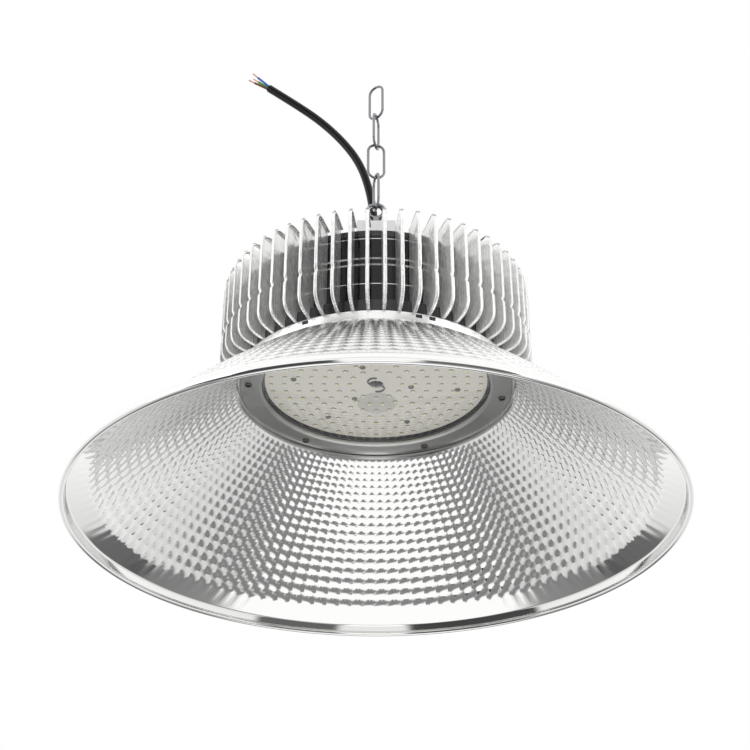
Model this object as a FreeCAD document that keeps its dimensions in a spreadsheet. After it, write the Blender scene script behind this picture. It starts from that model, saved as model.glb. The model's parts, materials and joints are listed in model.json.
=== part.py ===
"""High bay light: a spun reflector bell under a ring of stamped cooling fins, hung on a chain.

Frame: millimetres, +Z up, origin at the middle of the circle on which the reflector's rim rests.
The lamp looks down along -Z.  Its front is -Y.
"""
import FreeCAD, Part
import math
import os
import re
import Sketcher

from FreeCAD import Placement, Rotation, Vector

# ---------------------------------------------------------------- driving sizes
SIZES = {
    # reflector bell, spun from sheet
    "reflector_sheet": 1.0,
    "rim_radius": 250.0,
    "rim_bead": 5.0,
    "lip_step": 5.0,
    "ridge_height": 10.5,
    "band_width": 15.5,
    "band_height": 18.5,
    "bell_bow": 2.5,
    "neck_radius": 118.0,
    "neck_height": 121.0,
    "neck_flange_radius": 104.0,
    "facet_columns": 120.0,
    "facet_rows": 18.0,
    "facet_rise": 0.055,
    "facet_root": 0.12,
    "facet_margin": 1.5,
    "notch_width": 5.0,
    "notch_height": 2.6,
    "notch_stand": 3.5,
    # lamp face
    "face_height": 124.5,
    "bezel_radius": 115.0,
    "bezel_depth": 3.5,
    "bezel_edge": 1.0,
    "window_radius": 96.5,
    "glass_radius": 101.0,
    "glass_thickness": 3.0,
    "glass_gap": 0.4,
    "lip_thickness": 3.1,
    "gasket_thickness": 0.8,
    "gasket_inner_radius": 97.0,
    "base_radius": 114.0,
    "base_plate_thickness": 6.2,
    "board_depth": 3.4,
    "board_radius": 94.0,
    "board_thickness": 1.6,
    "wire_hole_radius": 6.0,
    "chip_width": 3.0,
    "chip_height": 0.8,
    "chip_ring_pitch": 11.1,
    "chip_first_ring": 2.0,
    "chip_last_ring": 8.0,
    "wire_diameter": 1.5,
    "wire_loop": 5.5,
    # screws
    "clearance": 0.15,
    "bezel_screw_circle": 107.5,
    "bezel_screw_count": 6.0,
    "bezel_screw_shank": 3.0,
    "bezel_screw_length": 12.0,
    "board_screw_circle": 70.0,
    "board_screw_count": 6.0,
    "board_screw_inner_circle": 30.0,
    "board_screw_inner_count": 3.0,
    "board_screw_shank": 2.5,
    "board_screw_length": 5.0,
    # heat sink
    "fin_count": 60.0,
    "fin_sheet": 1.0,
    "fin_lip": 3.0,
    "fin_radius": 133.0,
    "fin_foot_radius": 115.5,
    "fin_foot_height": 129.5,
    "fin_corner_height": 134.0,
    "fin_corner_fillet": 14.0,
    "fin_stand": 8.3,
    "fin_top_fillet": 4.0,
    "fin_root_stand": 6.3,
    "fin_seat": 0.3,
    "kink_height": 162.5,
    "kink_depth": 1.6,
    "drum_radius": 107.5,
    "drum_wall": 3.0,
    "drum_top": 209.7,
    "drum_step_height": 161.0,
    "drum_step": 0.9,
    "drum_band_low": 180.0,
    "drum_band_high": 186.0,
    "drum_band_line": 1.0,
    "cover_thickness": 3.3,
    "cover_skirt": 4.0,
    "tie_circle": 98.0,
    "tie_count": 6.0,
    "tie_shank": 4.0,
    "tie_thread": 5.0,
    # driver inside the drum
    "driver_length": 110.0,
    "driver_width": 62.0,
    "driver_height": 38.0,
    "driver_place": 40.0,
    "driver_ear": 9.0,
    "driver_ear_thickness": 2.0,
    "driver_corner": 3.0,
    "driver_screw_shank": 4.0,
    # hanging strap
    "strap_width": 34.0,
    "strap_sheet": 3.0,
    "strap_reach": 42.0,
    "strap_height": 62.5,
    "strap_foot": 16.0,
    "strap_bend": 5.0,
    "strap_screw_shank": 5.0,
    "strap_screw_pitch": 20.0,
    "strap_screw_length": 7.0,
    # eye bolt
    "eye_outer": 20.0,
    "eye_wire": 5.0,
    "eye_stand": 39.0,
    "eye_stem": 8.0,
    "eye_collar": 15.0,
    "eye_collar_thickness": 3.0,
    "eye_nut_flats": 13.0,
    "eye_nut_height": 6.5,
    "eye_washer": 16.0,
    "eye_washer_thickness": 1.5,
    "eye_stem_end": 3.5,
    # chain
    "chain_wire": 2.5,
    "chain_link_length": 41.5,
    "chain_link_width": 17.5,
    "chain_gap": 0.15,
    # cable gland and cord
    "gland_place": 24.0,
    "gland_thread": 16.0,
    "gland_flats": 20.0,
    "gland_hex": 5.0,
    "gland_nut_height": 15.0,
    "gland_locknut": 4.0,
    "gland_seal_radius": 6.0,
    "gland_seal_stand": 1.5,
    "gland_tail": 10.0,
    "strap_cable_hole": 19.0,
    "cord_diameter": 7.6,
    "core_diameter": 2.2,
    "core_length": 16.0,
    "core_pitch": 1.6,
    "copper_diameter": 1.2,
    "copper_length": 7.0,
}

# the cord leaves the gland upwards, passes behind the chain and bends to the left
CORD_ROUTE = [
    (0.0, 24.0, 234.5),
    (0.0, 24.0, 264.0),
    (-0.5, 24.2, 296.0),
    (-2.2, 24.3, 330.0),
    (-6.6, 24.0, 361.0),
    (-15.5, 23.6, 391.0),
    (-31.5, 23.4, 417.5),
    (-54.0, 23.2, 443.5),
    (-80.0, 23.4, 466.0),
    (-106.0, 24.0, 487.0),
]

doc = FreeCAD.newDocument("high_bay_light")


def make_sheet():
    """Write the driving sizes to the document's spreadsheet, one alias to a row."""
    table = doc.addObject("Spreadsheet::Sheet", "size")
    for row, (alias, value) in enumerate(SIZES.items(), start=1):
        table.set(f"A{row}", alias)
        table.set(f"B{row}", str(value))
        table.setAlias(f"B{row}", alias)
    doc.recompute()
    return table


sheet = make_sheet()


def val(words):
    """Read an expression of the sheet's names as a number, with FreeCAD's own reader."""
    return float(sheet.evalExpression(cell(words)))


def cell(words):
    """Turn plain names into the expression that FreeCAD reads from the sheet."""
    return re.sub(r"[a-z][a-z_]+", lambda m: "size." + m[0] if m[0] in SIZES else m[0], words)


# ---------------------------------------------------------------- shared heights, as expressions
BEZEL_TOP = "(face_height + bezel_depth)"
FLANGE_TOP = "(face_height + bezel_depth + reflector_sheet)"
GLASS_LOW = "(face_height + lip_thickness)"
GLASS_HIGH = "(face_height + lip_thickness + glass_thickness)"
LEDGE = "(face_height + lip_thickness + glass_thickness + gasket_thickness)"
BOARD_HIGH = f"({LEDGE} + board_depth)"
BOARD_LOW = f"({BOARD_HIGH} - board_thickness)"
BASE_HIGH = f"({BOARD_HIGH} + base_plate_thickness)"
COVER_HIGH = "(drum_top + cover_thickness)"
FIN_TOP = "(drum_top + fin_stand)"
FIN_ROOT_TOP = "(drum_top + fin_root_stand)"
STRAP_TOP = f"({COVER_HIGH} + strap_height)"
STRAP_LOW = f"({STRAP_TOP} - strap_sheet)"
EYE_HEIGHT = f"({STRAP_TOP} + eye_stand)"
RIDGE_RADIUS = "(rim_radius - lip_step)"
BAND_RADIUS = f"({RIDGE_RADIUS} - band_width)"


# ---------------------------------------------------------------- modelling helpers
def bind(item, prop, words):
    """Bind a property of an object to an expression of the sheet's names."""
    item.setExpression(prop, cell(words))


def new_body(name):
    """Start a PartDesign body that may hold a ring of separate solids."""
    body = doc.addObject("PartDesign::Body", name)
    body.Label = name
    body.AllowCompound = True
    return body


def origin_item(body, role):
    """Find one of the body's own origin planes or axes by its role."""
    return next(item for item in body.Origin.OriginFeatures if item.Role == role)


def new_sketch(body, plane, offset="0"):
    """Attach a sketch to an origin plane, moved along the plane's normal."""
    sketch = body.newObject("Sketcher::SketchObject", body.Name + "_sketch")
    sketch.AttachmentSupport = [(origin_item(body, plane), "")]
    sketch.MapMode = "FlatFace"
    bind(sketch, "AttachmentOffset.Base.z", offset)
    return sketch


def place_point(sketch, geometry, end, across, up):
    """Tie one point of a sketch to two expressions."""
    for kind, words in (("DistanceX", across), ("DistanceY", up)):
        index = sketch.addConstraint(Sketcher.Constraint(kind, -1, 1, geometry, end, val(words)))
        sketch.setExpression(f"Constraints[{index}]", cell(words))


def outline(sketch, corners):
    """Draw a closed outline whose corners are pairs of expressions."""
    spots = [Vector(val(across), val(up), 0) for across, up in corners]
    for i, start in enumerate(spots):
        sketch.addGeometry(Part.LineSegment(start, spots[(i + 1) % len(spots)]), False)
    for i in range(len(spots)):
        joined = ("Coincident", i, 2, (i + 1) % len(spots), 1)
        sketch.addConstraint(Sketcher.Constraint(*joined))
    for i, (across, up) in enumerate(corners):
        place_point(sketch, i, 1, across, up)


def circle(sketch, radius, across="0", up="0"):
    """Draw a circle whose radius and centre are expressions."""
    round_one = Part.Circle(Vector(val(across), val(up), 0), Vector(0, 0, 1), val(radius))
    index = sketch.addGeometry(round_one, False)
    size = sketch.addConstraint(Sketcher.Constraint("Radius", index, val(radius)))
    sketch.setExpression(f"Constraints[{size}]", cell(radius))
    place_point(sketch, index, 3, across, up)


def revolve(body, corners):
    """Turn a closed outline of (radius, height) corners about the Z axis."""
    sketch = new_sketch(body, "XZ_Plane")
    outline(sketch, corners)
    turned = body.newObject("PartDesign::Revolution", body.Name + "_turned")
    turned.Profile = sketch
    turned.ReferenceAxis = (sketch, ["V_Axis"])
    turned.Angle = 360
    return turned


def pad(body, sketch, length, midplane=False):
    """Pad a sketch along its normal."""
    solid = body.newObject("PartDesign::Pad", body.Name + "_pad")
    solid.Profile = sketch
    bind(solid, "Length", length)
    solid.Midplane = midplane
    return solid


def pocket(body, sketch, length):
    """Cut a sketch upwards, along its normal."""
    cut = body.newObject("PartDesign::Pocket", body.Name + "_pocket")
    cut.Profile = sketch
    bind(cut, "Length", length)
    cut.Reversed = True
    return cut


def ring_of(body, features, count):
    """Repeat features round the Z axis and make the ring the body's tip."""
    ring = body.newObject("PartDesign::PolarPattern", body.Name + "_ring")
    ring.Originals = features
    ring.Axis = (origin_item(body, "Z_Axis"), [""])
    ring.Angle = 360
    bind(ring, "Occurrences", count)
    body.Tip = ring
    return ring


def turn_body(body, degrees):
    """Turn a whole body about the Z axis."""
    body.Placement = Placement(Vector(0, 0, 0), Rotation(Vector(0, 0, 1), degrees))


def hole_ring(body, low, depth, radius, circle_radius, count, degrees):
    """Drill a ring of round holes upwards from a height."""
    sketch = new_sketch(body, "XY_Plane", low)
    across = f"({circle_radius}) * cos({degrees} deg)"
    up = f"({circle_radius}) * sin({degrees} deg)"
    circle(sketch, radius, across, up)
    cut = pocket(body, sketch, depth)
    doc.recompute()
    return ring_of(body, [cut], count)


def drill(body, low, depth, radius, across, up):
    """Drill one round hole upwards from a height."""
    sketch = new_sketch(body, "XY_Plane", low)
    circle(sketch, radius, across, up)
    cut = pocket(body, sketch, depth)
    doc.recompute()
    return cut


def screw_ring(name, circle_radius, count, degrees, seat, head_up, head, head_height, shank, length):
    """Make a ring of dome-headed screws: seat is the height under the heads."""
    body = new_body(name)
    side = 1 if head_up else -1
    middle = f"({circle_radius})"
    tip = f"({seat}) - {side} * ({length})"
    top = f"({seat}) + {side} * ({head_height})"
    shoulder = f"({seat}) + {side} * 0.55 * ({head_height})"
    corners = [
        (middle, tip),
        (f"{middle} + ({shank}) / 2", tip),
        (f"{middle} + ({shank}) / 2", seat),
        (f"{middle} + ({head}) / 2", seat),
        (f"{middle} + ({head}) / 2", shoulder),
        (f"{middle} + 0.36 * ({head})", top),
        (middle, top),
    ]
    sketch = new_sketch(body, "XZ_Plane")
    outline(sketch, corners)
    turned = body.newObject("PartDesign::Revolution", body.Name + "_turned")
    turned.Profile = sketch
    turned.ReferenceAxis = (sketch, [f"Edge{len(corners)}"])
    turned.Angle = 360
    doc.recompute()
    ring_of(body, [turned], count)
    turn_body(body, degrees)
    return body


def primitive(kind, name, sizes, base=("0", "0", "0"), turn=None):
    """Make a bound Part primitive, turned about an axis by an angle when asked."""
    item = doc.addObject(kind, name)
    for prop, words in sizes.items():
        bind(item, prop, words)
    if turn:
        axis, degrees = turn
        item.Placement = Placement(Vector(0, 0, 0), Rotation(Vector(*axis), degrees))
    for letter, words in zip("xyz", base):
        bind(item, f"Placement.Base.{letter}", words)
    return item


def cylinder(name, radius, height, base=("0", "0", "0"), turn=None):
    """A round bar with its foot at base."""
    return primitive("Part::Cylinder", name, {"Radius": radius, "Height": height}, base, turn)


def fused(name, pieces):
    """Join Part primitives into one solid."""
    whole = doc.addObject("Part::MultiFuse", name)
    whole.Label = name
    whole.Shapes = pieces
    whole.Refine = True
    return whole


def cut_from(name, base, tool):
    """Cut one Part object from another."""
    whole = doc.addObject("Part::Cut", name)
    whole.Label = name
    whole.Base = base
    whole.Tool = tool
    return whole


def in_code(name, shape):
    """Hold a shape that the code worked out from the sheet's values."""
    item = doc.addObject("Part::Feature", name)
    item.Label = name
    item.Shape = shape
    return item


# ---------------------------------------------------------------- reflector
def reflector():
    """The spun bell: neck flange, collar, bowed and faceted cone, smooth band, turned lip, rolled bead."""
    wall = val("reflector_sheet")
    bead = val("rim_bead / 2")
    bead_centre = val("rim_radius - rim_bead / 2")
    collar, band = cone_ends()
    ridge = Vector(val(RIDGE_RADIUS), 0, val("ridge_height"))
    lip = Vector(bead_centre, 0, bead)
    flange = Vector(val("neck_flange_radius"), 0, val(FLANGE_TOP) - wall / 2)
    corner = Vector(collar.x, 0, val(FLANGE_TOP) - wall / 2)
    edges = [
        Part.LineSegment(flange, corner),
        Part.LineSegment(corner, collar),
        Part.Arc(collar, on_cone(0.5), band),
        Part.LineSegment(band, ridge),
        Part.LineSegment(ridge, lip),
    ]
    middle = Part.Wire([edge.toShape() for edge in edges])
    outer = middle.makeOffset2D(wall / 2, 2, False, True)
    inner = middle.makeOffset2D(-wall / 2, 2, False, True)
    section = ruled_section(outer, inner)
    bell = section.revolve(Vector(0, 0, 0), Vector(0, 0, 1), 360)
    roll = Part.makeTorus(bead_centre, bead, Vector(0, 0, bead))
    bell = bell.fuse(roll).removeSplitter()
    bell = bell.cut([notches(), flange_holes()])
    return in_code("reflector", bell.fuse(facets()))


def cone_ends():
    """Where the cone's middle line leaves the collar and where it meets the smooth band."""
    collar = Vector(val("neck_radius - reflector_sheet / 2"), 0, val("neck_height"))
    return collar, Vector(val(BAND_RADIUS), 0, val("band_height"))


def cone_outward():
    """The direction that points squarely out of the cone."""
    collar, band = cone_ends()
    across = (band - collar).normalize()
    return Vector(-across.z, 0, across.x)


def on_cone(share):
    """A point of the bowed middle line: share runs from 0 at the neck to 1 at the band."""
    collar, band = cone_ends()
    bow = val("bell_bow") * (1 - (2 * share - 1) ** 2)
    return collar + (band - collar) * share + cone_outward() * bow


def facet_row(step):
    """The share of the cone at which a row begins: rows grow with the radius, so cells stay square."""
    collar, band = cone_ends()
    margin = val("facet_margin") / (band - collar).Length
    growth = (band.x / collar.x) ** (step / int(val("facet_rows")))
    share = collar.x * (growth - 1) / (band.x - collar.x)
    return margin + (1 - 2 * margin) * share


def facets():
    """The pressed pattern inside the cone: rings of low four-sided pyramids on a closed lining.

    The lining's back lies inside the wall, past its middle by a share of the sheet, so its facets
    become one sheet with the bell.
    """
    outward = cone_outward()
    columns = int(val("facet_columns"))
    rows = int(val("facet_rows"))
    pitch = 2 * math.pi / columns
    face_depth = val("reflector_sheet / 2 + facet_root")
    back_depth = -LINING_ROOT * val("reflector_sheet")

    def corner(share, depth, column):
        spot = on_cone(share) - outward * depth
        angle = column * pitch
        return Vector(spot.x * math.cos(angle), spot.x * math.sin(angle), spot.z)

    shares = [facet_row(step) for step in range(rows + 1)]
    faces = []
    for row in range(rows):
        middle = facet_row(row + 0.5)
        rise = val("facet_rise") * on_cone(middle).x * pitch
        for column in range(columns):
            ring = [corner(shares[row], face_depth, column), corner(shares[row + 1], face_depth, column),
                    corner(shares[row + 1], face_depth, column + 1), corner(shares[row], face_depth, column + 1)]
            peak = corner(middle, face_depth + rise, column + 0.5)
            faces += [flat_face([a, b, peak]) for a, b in zip(ring, ring[1:] + ring[:1])]
    back_rows = [facet_row(rows * step / LINING_BACK_ROWS) for step in range(LINING_BACK_ROWS + 1)]
    for low, high in zip(back_rows, back_rows[1:]):
        for column in range(columns):
            faces.append(flat_face([corner(low, back_depth, column), corner(high, back_depth, column),
                                    corner(high, back_depth, column + 1), corner(low, back_depth, column + 1)]))
    for share in (shares[0], shares[-1]):
        for column in range(columns):
            faces.append(flat_face([corner(share, face_depth, column), corner(share, back_depth, column),
                                    corner(share, back_depth, column + 1), corner(share, face_depth, column + 1)]))
    lining = Part.Solid(Part.Shell(faces))
    if lining.Volume < 0:
        lining.reverse()
    return lining


LINING_BACK_ROWS = 6
LINING_ROOT = 0.2


def flat_face(corners):
    """A flat face with straight edges."""
    return Part.Face(Part.makePolygon(corners + corners[:1]))


def ruled_section(outer, inner):
    """Close two offset lines of one sheet into the face between them."""
    outer_ends = [outer.OrderedVertexes[0].Point, outer.OrderedVertexes[-1].Point]
    inner_ends = [inner.OrderedVertexes[0].Point, inner.OrderedVertexes[-1].Point]
    if outer_ends[0].distanceToPoint(inner_ends[0]) > outer_ends[0].distanceToPoint(inner_ends[1]):
        inner_ends.reverse()
    caps = [Part.LineSegment(a, b).toShape() for a, b in zip(outer_ends, inner_ends)]
    ring = Part.Wire(Part.__sortEdges__(outer.Edges + inner.Edges + caps))
    return Part.Face(ring)


def notches():
    """Small windows in the collar, where the bell's latches snap over the heat sink."""
    width = val("notch_width")
    height = val("notch_height")
    wall = val("reflector_sheet")
    tools = []
    for degrees in NOTCH_ANGLES:
        low = Vector(val("neck_radius") - 2 * wall, -width / 2, val("neck_height + notch_stand"))
        tool = Part.makeBox(3 * wall, width, height, low)
        tool.rotate(Vector(0, 0, 0), Vector(0, 0, 1), degrees)
        tools.append(tool)
    return Part.makeCompound(tools)


def flange_holes():
    """Clearance holes for the bezel's screws in the bell's flange."""
    radius = val("bezel_screw_shank / 2 + clearance")
    count = int(val("bezel_screw_count"))
    wall = val("reflector_sheet")
    tools = []
    for step in range(count):
        tool = Part.makeCylinder(radius, 3 * wall, Vector(val("bezel_screw_circle"), 0, val(BEZEL_TOP) - wall))
        tool.rotate(Vector(0, 0, 0), Vector(0, 0, 1), BEZEL_SCREW_ANGLE + 360 * step / count)
        tools.append(tool)
    return Part.makeCompound(tools)


NOTCH_ANGLES = (-118.0, -73.6, -68.2, 2.0, 46.4, 122.0, 166.4)


# ---------------------------------------------------------------- lamp face
BEZEL_SCREW_ANGLE = 6.0
BOARD_SCREW_ANGLE = 7.0
BOARD_INNER_ANGLE = 8.0
TIE_ANGLE = 30.0


def bezel_ring():
    """The ring that clamps the glass and the bell's flange to the base plate."""
    body = new_body("bezel_ring")
    revolve(body, [
        ("window_radius", "face_height + bezel_edge"),
        ("window_radius + 2 * bezel_edge", "face_height"),
        ("bezel_radius - bezel_edge", "face_height"),
        ("bezel_radius", "face_height + bezel_edge"),
        ("bezel_radius", BEZEL_TOP),
        ("glass_radius + glass_gap", BEZEL_TOP),
        ("glass_radius + glass_gap", GLASS_LOW),
        ("window_radius", GLASS_LOW),
    ])
    doc.recompute()
    hole_ring(body, "face_height - bezel_depth", "3 * bezel_depth", "bezel_screw_shank / 2 + clearance",
              "bezel_screw_circle", "bezel_screw_count", BEZEL_SCREW_ANGLE)
    return body


def glass_cover():
    """Flat tempered glass."""
    return cylinder("glass_cover", "glass_radius", "glass_thickness", ("0", "0", GLASS_LOW))


def glass_gasket():
    """Silicone ring between the glass and the base plate's ledge."""
    body = new_body("glass_gasket")
    revolve(body, [
        ("gasket_inner_radius", GLASS_HIGH),
        ("glass_radius", GLASS_HIGH),
        ("glass_radius", LEDGE),
        ("gasket_inner_radius", LEDGE),
    ])
    return body


def base_plate():
    """The turned aluminium plate that carries board, glass, bell, fins and drum."""
    body = new_body("base_plate")
    revolve(body, [
        ("wire_hole_radius", BOARD_HIGH),
        ("window_radius", BOARD_HIGH),
        ("window_radius", LEDGE),
        ("glass_radius + glass_gap", LEDGE),
        ("glass_radius + glass_gap", FLANGE_TOP),
        ("base_radius", FLANGE_TOP),
        ("base_radius", BASE_HIGH),
        ("wire_hole_radius", BASE_HIGH),
    ])
    doc.recompute()
    hole_ring(body, FLANGE_TOP, "bezel_screw_length - bezel_depth + 4 * clearance",
              "bezel_screw_shank / 2 + clearance", "bezel_screw_circle", "bezel_screw_count",
              BEZEL_SCREW_ANGLE)
    board_hole = "board_screw_shank / 2 + clearance"
    board_depth = "board_screw_length - board_thickness + 4 * clearance"
    hole_ring(body, BOARD_HIGH, board_depth, board_hole,
              "board_screw_circle", "board_screw_count", BOARD_SCREW_ANGLE)
    hole_ring(body, BOARD_HIGH, board_depth, board_hole,
              "board_screw_inner_circle", "board_screw_inner_count", BOARD_INNER_ANGLE)
    thread_low = f"{BASE_HIGH} - tie_thread - 4 * clearance"
    thread_depth = "tie_thread + 10 * clearance"
    hole_ring(body, thread_low, thread_depth, "tie_shank / 2 + clearance",
              "tie_circle", "tie_count", TIE_ANGLE)
    for side in ("", "-"):
        hole = drill(body, thread_low, thread_depth, "driver_screw_shank / 2 + clearance",
                     f"{side}{DRIVER_SCREW_X}", "driver_place")
    body.Tip = hole
    return body


def led_board():
    """Round aluminium circuit board."""
    body = new_body("led_board")
    face = new_sketch(body, "XY_Plane", BOARD_LOW)
    circle(face, "board_radius")
    circle(face, "wire_hole_radius")
    pad(body, face, "board_thickness")
    doc.recompute()
    hole = "board_screw_shank / 2 + clearance"
    low = f"{BOARD_LOW} - board_thickness"
    hole_ring(body, low, "3 * board_thickness", hole,
              "board_screw_circle", "board_screw_count", BOARD_SCREW_ANGLE)
    hole_ring(body, low, "3 * board_thickness", hole,
              "board_screw_inner_circle", "board_screw_inner_count", BOARD_INNER_ANGLE)
    return body


def led_chips():
    """Light sources in rings of six more each: every chip is a solid of its own."""
    chips = []
    side = val("chip_width")
    height = val("chip_height")
    low = val(BOARD_LOW) - height
    for ring in range(int(val("chip_first_ring")), int(val("chip_last_ring")) + 1):
        radius = ring * val("chip_ring_pitch")
        for step in range(6 * ring):
            chip = Part.makeBox(side, side, height, Vector(radius - side / 2, -side / 2, low))
            chip.rotate(Vector(0, 0, 0), Vector(0, 0, 1), 360 * step / (6 * ring))
            chips.append(chip)
    return in_code("led_chips", Part.makeCompound(chips))


def board_screws():
    """Two rings of small screws that press the board to the base plate."""
    head = "2 * board_screw_shank"
    height = "0.5 * board_screw_shank"
    screw_ring("board_screws_outer", "board_screw_circle", "board_screw_count", BOARD_SCREW_ANGLE,
               BOARD_LOW, False, head, height, "board_screw_shank", "board_screw_length")
    screw_ring("board_screws_inner", "board_screw_inner_circle", "board_screw_inner_count",
               BOARD_INNER_ANGLE, BOARD_LOW, False, head, height, "board_screw_shank",
               "board_screw_length")


def bezel_screws():
    """Screws through the bezel and the bell's flange into the base plate."""
    screw_ring("bezel_screws", "bezel_screw_circle", "bezel_screw_count", BEZEL_SCREW_ANGLE,
               "face_height", False, "2.1 * bezel_screw_shank", "0.55 * bezel_screw_shank",
               "bezel_screw_shank", "bezel_screw_length")


def lead_wires():
    """Two supply wires: from the driver, down through the middle hole, and round to the board's pads."""
    thick = val("wire_diameter / 2")
    loop = val("wire_loop")
    low = val(BOARD_LOW) - thick
    top = val(BASE_HIGH) + val("wire_diameter") * 3
    reach = val("driver_place - driver_width / 2")
    up = Vector(0, 0, 1)
    wires = []
    for side in (-1, 1):
        bend = Vector(side * 2 * thick, 0, low)
        turn = Vector(side * 2 * thick, 0, top)
        drop = Part.makeCylinder(thick, top - low, bend)
        run = Part.makeCylinder(thick, reach, turn, Vector(0, 1, 0))
        middle = bend + Vector(0, side * loop, 0)
        flat = Part.makeTorus(loop, thick, middle, up, -180, 180, 200)
        flat.rotate(middle, up, -90 if side > 0 else 90)
        knees = [Part.makeSphere(thick, bend), Part.makeSphere(thick, turn)]
        wires.append(drop.fuse([run, flat] + knees).removeSplitter())
    return in_code("lead_wires", Part.makeCompound(wires))


# ---------------------------------------------------------------- heat sink
def edges_across(shape, radius, height):
    """Name the edges that run across the fin's sheet at one corner of its outline."""
    names = []
    for index, edge in enumerate(shape.Edges, start=1):
        ends = [vertex.Point for vertex in edge.Vertexes]
        if len(ends) == 2 and all(math.hypot(p.x - radius, p.z - height) < 0.01 for p in ends):
            names.append(f"Edge{index}")
    return names


def fillet(body, base, corners, radius):
    """Round the corners of a fin-shaped solid, given as (radius, height) expressions."""
    doc.recompute()
    names = []
    for across, up in corners:
        names += edges_across(base.Shape, val(across), val(up))
    rounded = body.newObject("PartDesign::Fillet", body.Name + "_fillet")
    rounded.Base = (base, names)
    bind(rounded, "Radius", radius)
    doc.recompute()
    return rounded


def fin_outline(inset):
    """Corners of the stamped fin; inset draws the web that lies inside the folded lip."""
    seat = "drum_radius + fin_seat"
    foot_seat = "base_radius + fin_seat"
    step = f"{BASE_HIGH} + fin_seat"
    if inset == "0":
        inner = [(seat, step), (foot_seat, step), (foot_seat, "fin_foot_height")]
    else:
        past = "2 * fin_sheet"
        inner = [(f"{seat} - {past}", f"{step} - {past}"), (f"{foot_seat} - {past}", f"{step} - {past}"),
                 (f"{foot_seat} - {past}", f"fin_foot_height + {inset}")]
    return inner + [
        ("fin_foot_radius", f"fin_foot_height + {inset}"),
        (f"fin_radius - {inset}", f"fin_corner_height + {inset}"),
        (f"fin_radius - {inset}", f"kink_height - 2 * kink_depth"),
        (f"fin_radius - kink_depth - {inset}", "kink_height"),
        (f"fin_radius - {inset}", "kink_height + 2 * kink_depth"),
        (f"fin_radius - {inset}", f"{FIN_TOP} - {inset}"),
        (inner[0][0], f"{FIN_ROOT_TOP} - {inset}"),
    ]


def cooling_fins():
    """A ring of stamped fins: each a sheet with a lip folded along its outer edge."""
    body = new_body("cooling_fins")
    plate = new_sketch(body, "XZ_Plane", "-fin_lip / 2")
    outline(plate, fin_outline("0"))
    blank = pad(body, plate, "fin_lip")
    web = new_sketch(body, "XZ_Plane", "fin_sheet - fin_lip / 2")
    outline(web, fin_outline("fin_sheet"))
    hollow = pocket(body, web, "fin_lip")
    inner = fillet(body, hollow, [("fin_radius - fin_sheet", f"{FIN_TOP} - fin_sheet")],
                   "fin_top_fillet - fin_sheet")
    inner = fillet(body, inner, [("fin_radius - fin_sheet", "fin_corner_height + fin_sheet")],
                   "fin_corner_fillet - fin_sheet")
    outer = fillet(body, inner, [("fin_radius", FIN_TOP)], "fin_top_fillet")
    fillet(body, outer, [("fin_radius", "fin_corner_height")], "fin_corner_fillet")
    ring = body.newObject("PartDesign::PolarPattern", "cooling_fins_ring")
    ring.TransformMode = "Whole shape"
    ring.Axis = (origin_item(body, "Z_Axis"), [""])
    ring.Angle = 360
    bind(ring, "Occurrences", "fin_count")
    body.Tip = ring
    turn_body(body, 360 / val("fin_count") / 2 - 90)
    return body


def core_drum():
    """The closed tube inside the fins, with a seam step and a raised double line."""
    body = new_body("core_drum")
    waist = "drum_radius - drum_step"
    revolve(body, [
        ("drum_radius - drum_wall", BASE_HIGH),
        ("drum_radius", BASE_HIGH),
        ("drum_radius", "drum_step_height"),
        (waist, "drum_step_height + drum_step"),
        (waist, "drum_band_low - drum_band_line"),
        ("drum_radius", "drum_band_low"),
        (waist, "drum_band_low + drum_band_line"),
        (waist, "drum_band_high - drum_band_line"),
        ("drum_radius", "drum_band_high"),
        (waist, "drum_band_high + drum_band_line"),
        (waist, "drum_top"),
        ("drum_radius - drum_wall", "drum_top"),
    ])
    return body


def top_cover():
    """The lid of the drum, with a skirt that centres it."""
    body = new_body("top_cover")
    inside = "drum_radius - drum_wall - 2 * clearance"
    revolve(body, [
        ("0", "drum_top"),
        (f"{inside} - cover_thickness", "drum_top"),
        (f"{inside} - cover_thickness", "drum_top - cover_skirt"),
        (inside, "drum_top - cover_skirt"),
        (inside, "drum_top"),
        ("drum_radius - clearance", "drum_top"),
        ("drum_radius - clearance", COVER_HIGH),
        ("0", COVER_HIGH),
    ])
    doc.recompute()
    low = "drum_top - cover_thickness"
    through = "3 * cover_thickness"
    hole_ring(body, low, through, "tie_shank / 2 + clearance", "tie_circle", "tie_count", TIE_ANGLE)
    drill(body, low, through, "gland_thread / 2 + clearance", "0", "gland_place")
    for side in (-1, 1):
        for end in (-1, 1):
            last = drill(body, low, through, "strap_screw_shank / 2 + clearance",
                         f"{side} * strap_screw_pitch / 2", f"{end} * ({STRAP_SCREW_Y})")
    body.Tip = last
    return body


STRAP_SCREW_Y = "(strap_reach + strap_foot / 2 + strap_sheet / 2)"


def tie_screws():
    """Long screws that pull the lid, the drum and the base plate together."""
    screw_ring("tie_screws", "tie_circle", "tie_count", TIE_ANGLE, COVER_HIGH, True,
               "2 * tie_shank", "0.6 * tie_shank", "tie_shank",
               f"{COVER_HIGH} - {BASE_HIGH} + tie_thread")


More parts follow.
